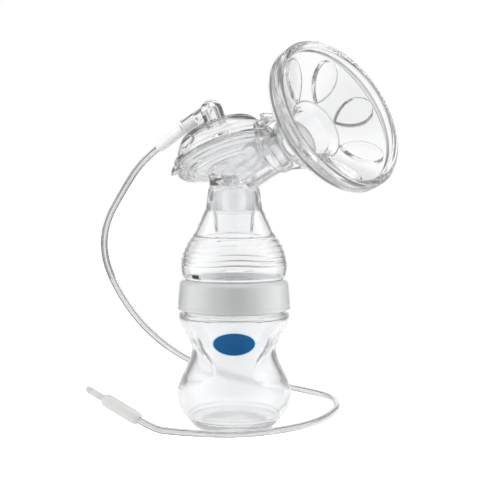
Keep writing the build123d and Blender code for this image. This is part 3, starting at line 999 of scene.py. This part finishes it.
def grip_shape(turn, radius, height):
    """An oval, from a circle of radius 1."""
    return radius * GRIP_WIDE * np.cos(turn), radius * GRIP_LONG * np.sin(turn), height


def make_cap():
    shell = lathe("diaphragm_cap_moulded", rounded([
        (0, CAP_LOW),
        (DISC_R + 0.4, CAP_LOW, 0.4),
        (DISC_R + 0.4, 21.3, 0.4),
        (28.3, 21.3, 0.15),
        (28.1, 20.7, 0.15),
        (27.5, 20.7, 0.15),
        (27.3, 21.4, 0.2),
        (25.6, 26.0, 2.0),
        (22.4, 30.9, 0.8),
        (20.9, 32.2, 1.2),
        (15.0, 33.9, 3.0),
        (0, CAP_TOP),
    ]), DISC)
    dome = [(BOSS_R * cos(t), BOSS_TOP + BOSS_R * sin(t)) for t in np.linspace(0, pi / 2, 14)[:-1]]
    post = [(0, 30.0), (BOSS_R, 30.0)] + dome + [(0, BOSS_TOP + BOSS_R)]
    boss = lathe("boss", post, BOSS, SMALL_SEGMENTS)
    port = rod("port", PORT_R, PORT_END, 4.0, PORT, 0.6)
    port_lip = rod("port_lip", PORT_R + 0.5, PORT_END, PORT_END + 1.6, PORT, 0.6)
    tab_at = DISC @ Matrix.Translation((DISC_R + 3.4, 0, CAP_LOW + 1.35))
    tab = block("tab", (13.0, 8.0, 2.7), tab_at, 0.6)
    thumb_at = DISC @ Matrix.Translation((DISC_R + 8.6, 0, CAP_LOW + 2.4))
    thumb = block("thumb", (2.4, 10.0, 4.8), thumb_at, 0.8)
    grips = []
    for side in (-90, 90):
        at = turned_disc(side) @ Matrix.Translation((24.0, 0, 24.6)) @ Matrix.Rotation(GRIP_LEAN, 4, "Y")
        oval = rounded([(0, 0), (1.0, 0, 0), (1.0, 3.2, 0.35), (0, 3.2)])
        grips.append(lathe("grip", oval, at, TINY_SEGMENTS, grip_shape))
    cap = merge(shell, [boss, port, port_lip, tab, thumb] + grips, "UNION")
    room = lathe("room", rounded([
        (0, 17.0),
        (24.4, 17.0, 0),
        (25.2, 20.1, 0.6),
        (24.0, 26.0, 1.5),
        (20.8, 30.0, 1.5),
        (15.0, 32.3, 3.0),
        (0, 33.0),
    ]), DISC)
    socket = rod("socket", SOCKET_R, PORT_END - 1, CONNECTOR_IN, PORT, 0)
    air_hole = rod("air_hole", AIR_HOLE_R, CONNECTOR_IN - 1, DISC_ALONG + 2, PORT, 0.8)
    down_hole = rod("down_hole", AIR_HOLE_R, 30.0, BOSS_TOP + 1.0, BOSS, 0.8)
    cap = merge(cap, [room, socket, air_hole, down_hole], "DIFFERENCE")
    shade(cap)
    return cap


finished(make_cap(), "cap", "diaphragm_cap", clear_plastic)

connector = lathe("tube_connector_soft", rounded([
    (1.1, CONNECTOR_END),
    (3.1, CONNECTOR_END, 0.7),
    (CONNECTOR_R, CONNECTOR_END + 3.0, 1.0),
    (CONNECTOR_R, CONNECTOR_IN, 0.3),
    (1.1, CONNECTOR_IN),
], 0.2), PORT, TINY_SEGMENTS)
finished(connector, "cap", "tube_connector", connector_rubber)

# ---- funnel ----------------------------------------------------------------------------
TUNNEL_R = 12.0
CONE_BACK = 64.3
CONE_FRONT = 80.0
CONE_R = 38.0
RIM_R = 42.0
RIM_FRONT = 85.7
RIM_SKIRT = 1.4
STEM_BACK = 36.3
SHEET = 1.5
GAP = 0.3
FUNNEL_WALL = 1.6
STEM_BORE_R = SPOUT_R + 0.08
cone_run = CONE_FRONT - CONE_BACK
cone_slant = sqrt((CONE_R - TUNNEL_R) ** 2 + cone_run ** 2)
slope = cone_run / (CONE_R - TUNNEL_R)


def cone_end(depth):
    """The cone's outer end, moved back by a depth at right angles to the cone."""
    return CONE_R + cone_run / cone_slant * depth, CONE_FRONT - (CONE_R - TUNNEL_R) / cone_slant * depth


def on_cone(radius, depth):
    """A point on the cone at a radius, moved back by a depth."""
    end_r, end_u = cone_end(depth)
    return radius, end_u - (end_r - radius) * slope


shell_r = TUNNEL_R + 1.5
back_r, back_u = cone_end(SHEET + GAP + FUNNEL_WALL)
front_r, front_u = cone_end(SHEET + GAP)
funnel_rim_r = RIM_R - RIM_SKIRT - GAP
funnel = lathe("funnel_shell", rounded([
    (STEM_BORE_R, STEM_BACK),
    (10.4, STEM_BACK, 0.5),
    (10.8, 40.8, 1.5),
    (shell_r + FUNNEL_WALL, 51.0, 3.0),
    (*on_cone(shell_r + FUNNEL_WALL, SHEET + GAP + FUNNEL_WALL), 3.0),
    (back_r, back_u, 0.8),
    (funnel_rim_r, back_u + 0.4, 0.4),
    (funnel_rim_r, CONE_FRONT + 0.6, 0.5),
    (front_r + 0.2, front_u + 0.2, 0.5),
    (*on_cone(shell_r, SHEET + GAP), 2.0),
    (shell_r, 51.7, 1.0),
    (STEM_BORE_R, 49.8, 0.3),
]), FUNNEL, FINE_SEGMENTS)
finished(funnel, "funnel", "funnel", clear_plastic)

# ---- massage cushion: seven raised petals and a rolled rim -----------------------------
PETALS = 7
PETAL_IN = 16.5
PETAL_OUT = 36.8
PETAL_HALF = 7.6
PETAL_HIGH = 1.4
PETAL_EDGE = 0.9
PETAL_GROOVE = 1.0
PETAL_GROOVE_HALF = 0.5
# the outline of a petal: its fullness, and how sharp its inner and outer tips are
PETAL_FULL = 2.35
PETAL_INNER_TIP = 0.85
PETAL_OUTER_TIP = 0.5
SLEEVE_BACK = 52.0
FACE_STEP = 0.34
FACE_CLOSE = 0.02
CUSHION_SEGMENTS = 540


def petal_height(turn, radius):
    """How far the petals stand out of the cone, one of them at the bottom."""
    share = np.clip((radius - PETAL_IN) / (PETAL_OUT - PETAL_IN), 0, 1)
    half = PETAL_HALF * PETAL_FULL * share ** PETAL_INNER_TIP * (1 - share) ** PETAL_OUTER_TIP
    pitch = 2 * pi / PETALS
    off = np.abs(np.mod(turn - pi + pitch / 2, pitch) - pitch / 2) * radius
    within = half - off
    groove = np.exp(-(within / PETAL_GROOVE_HALF) ** 2)
    groove = np.where((share > 0) & (share < 1), groove, 0)
    return PETAL_HIGH * step(0, PETAL_EDGE, within) - PETAL_GROOVE * groove


def cushion_shape(turn, radius, height):
    """Petals on the face of the cone, moved at right angles to it."""
    _, face = on_cone(radius, 0)
    on_face = (np.abs(height - face) < FACE_CLOSE) & (radius > TUNNEL_R + 0.5) & (radius < CONE_R)
    lift = np.where(on_face, petal_height(turn, radius), 0)
    r = radius - lift * cone_run / cone_slant
    z = height + lift * (CONE_R - TUNNEL_R) / cone_slant
    return r * np.cos(turn), r * np.sin(turn), z


def make_cushion():
    face = [on_cone(r, 0) for r in np.arange(TUNNEL_R + 4.5, CONE_R - 0.4, FACE_STEP)]
    back = cone_end(SHEET)
    sleeve_r = TUNNEL_R + 1.2
    tunnel = rounded([
        (sleeve_r, SLEEVE_BACK, 0.4),
        (TUNNEL_R, SLEEVE_BACK, 0.4),
        (TUNNEL_R, CONE_BACK, 4.0),
        face[0],
    ])[:-1]
    rim = rounded([
        face[-1],
        (CONE_R, CONE_FRONT, 0.5),
        (CONE_R - 0.1, CONE_FRONT + 1.2, 0.4),
        (CONE_R - 0.3, RIM_FRONT - 1.4, 0.8),
        (CONE_R + 1.2, RIM_FRONT, 1.2),
        (RIM_R - 1.2, RIM_FRONT, 1.2),
        (RIM_R, RIM_FRONT - 1.6, 1.2),
        (RIM_R, CONE_FRONT - 2.4, 0.6),
        (RIM_R - 0.9, CONE_FRONT - 3.4, 0.4),
        (RIM_R - RIM_SKIRT, CONE_FRONT - 3.3, 0.2),
        (RIM_R - RIM_SKIRT, CONE_FRONT + 2.2, 0.6),
        (back[0] + 0.4, back[1] + 0.6, 0.6),
        (back[0], back[1], 0.4),
        (*on_cone(sleeve_r, SHEET), 1.2),
        (sleeve_r, SLEEVE_BACK),
    ])[1:-1]
    outline = tunnel + face + rim
    return lathe("massage_cushion_petals", outline, FUNNEL, CUSHION_SEGMENTS, cushion_shape)


finished(make_cushion(), "cushion", "massage_cushion", cushion_silicone)

# ---- floor, sky and lights -------------------------------------------------------------
FLOOR_HALF_WIDTH = 0.19
FLOOR_BACK = 0.26
FLOOR_FRONT = 0.4
FLOOR_GLOW = 0.14
FLOOR_SEEN = 0.85
FLOOR_DROP = 0.0002
LIGHT_TARGET = Vector((0, 0, 0.11))
CLEAR_BOUNCES = 32
# (how far a direction points to the front, from -1 to 1, and how bright the sky is there)
SKY = [(-0.96, 1.0), (-0.86, 0.07), (-0.44, 0.07), (-0.24, 1.0), (0.4, 1.0), (0.7, 0.35), (1.0, 0.3)]


def make_floor():
    """A strip of pale table: mostly self-lit, so that it stays white, with faint soft shadows.
    It is small, so that clear plastic finds the dark to both sides of it."""
    mesh = bpy.data.meshes.new("floor")
    side = RIGHT_DIR * FLOOR_HALF_WIDTH
    near, far = FRONT_DIR * FLOOR_FRONT, -FRONT_DIR * FLOOR_BACK
    corners = [near - side, near + side, far + side, far - side]
    mesh.from_pydata([c[:] for c in corners], [], [(0, 1, 2, 3)])
    floor = bpy.data.objects.new("floor", mesh)
    bpy.context.scene.collection.objects.link(floor)
    floor.location.z = -FLOOR_DROP
    look = Surface("floor_white")
    look.set(Base_Color=(0.78, 0.78, 0.78, 1), Roughness=0.6, Specular_IOR_Level=0.2)
    look.set(Emission_Color=(1, 1, 1, 1))
    path = look.nodes.new("ShaderNodeLightPath")
    glow = look.nodes.new("ShaderNodeMapRange")
    glow.inputs["To Min"].default_value = FLOOR_GLOW
    glow.inputs["To Max"].default_value = FLOOR_SEEN
    look.links.new(path.outputs["Is Camera Ray"], glow.inputs["Value"])
    look.link(glow.outputs["Result"], "Emission Strength")
    mesh.materials.append(look.material)


def make_sky():
    """A bright backdrop, dark to both sides of it, soft light further round and a dim room
    behind the camera, which gives clear plastic its dark edges. The camera sees plain white."""
    world = bpy.data.worlds.new("studio")
    bpy.context.scene.world = world
    world.use_nodes = True
    nodes, links = world.node_tree.nodes, world.node_tree.links
    background = nodes["Background"]
    place = nodes.new("ShaderNodeTexCoord")
    facing = nodes.new("ShaderNodeVectorMath")
    facing.operation = "DOT_PRODUCT"
    facing.inputs[1].default_value = FRONT_DIR
    links.new(place.outputs["Generated"], facing.inputs[0])
    spread = nodes.new("ShaderNodeMapRange")
    spread.inputs["From Min"].default_value = -1
    links.new(facing.outputs["Value"], spread.inputs["Value"])
    ramp = nodes.new("ShaderNodeValToRGB")
    stops = ramp.color_ramp.elements
    while len(stops) < len(SKY):
        stops.new(0.5)
    for stop, (toward_front, level) in zip(stops, SKY):
        stop.position = (toward_front + 1) / 2
        stop.color = (level, level, level, 1)
    links.new(spread.outputs["Result"], ramp.inputs["Fac"])
    path = nodes.new("ShaderNodeLightPath")
    plain = nodes.new("ShaderNodeMath")
    plain.operation = "MAXIMUM"
    links.new(path.outputs["Is Camera Ray"], plain.inputs[0])
    links.new(ramp.outputs["Color"], plain.inputs[1])
    links.new(plain.outputs["Value"], background.inputs["Strength"])
    background.inputs["Color"].default_value = (1, 1, 1, 1)


def softbox(name, place, width, height, power, mirrored=True):
    """A soft area light that looks at the head. One that isn't mirrored only lights solid
    surfaces, so that it leaves no streaks in clear plastic."""
    lamp = bpy.data.lights.new(name, "AREA")
    lamp.shape = "RECTANGLE"
    lamp.size = width
    lamp.size_y = height
    lamp.energy = power
    holder = bpy.data.objects.new(name, lamp)
    bpy.context.scene.collection.objects.link(holder)
    holder.visible_glossy = mirrored
    holder.visible_transmission = mirrored
    holder.location = place
    aim = LIGHT_TARGET - holder.location
    holder.rotation_mode = "QUATERNION"
    holder.rotation_quaternion = aim.to_track_quat("-Z", "Y")


make_floor()
make_sky()
softbox("key_left", FRONT_DIR * 0.15 - RIGHT_DIR * 0.9 + UP * 0.45, 0.25, 0.5, 5.2, False)
softbox("fill_right", RIGHT_DIR * 0.95 + UP * 0.4, 0.2, 0.5, 7.6, False)
softbox("top", UP * 1.1 - FRONT_DIR * 0.2, 0.4, 0.4, 1.2)

scene = bpy.context.scene
scene.view_settings.view_transform = "Standard"
scene.cycles.max_bounces = CLEAR_BOUNCES
scene.cycles.transmission_bounces = CLEAR_BOUNCES
scene.cycles.glossy_bounces = 8
scene.cycles.transparent_max_bounces = CLEAR_BOUNCES
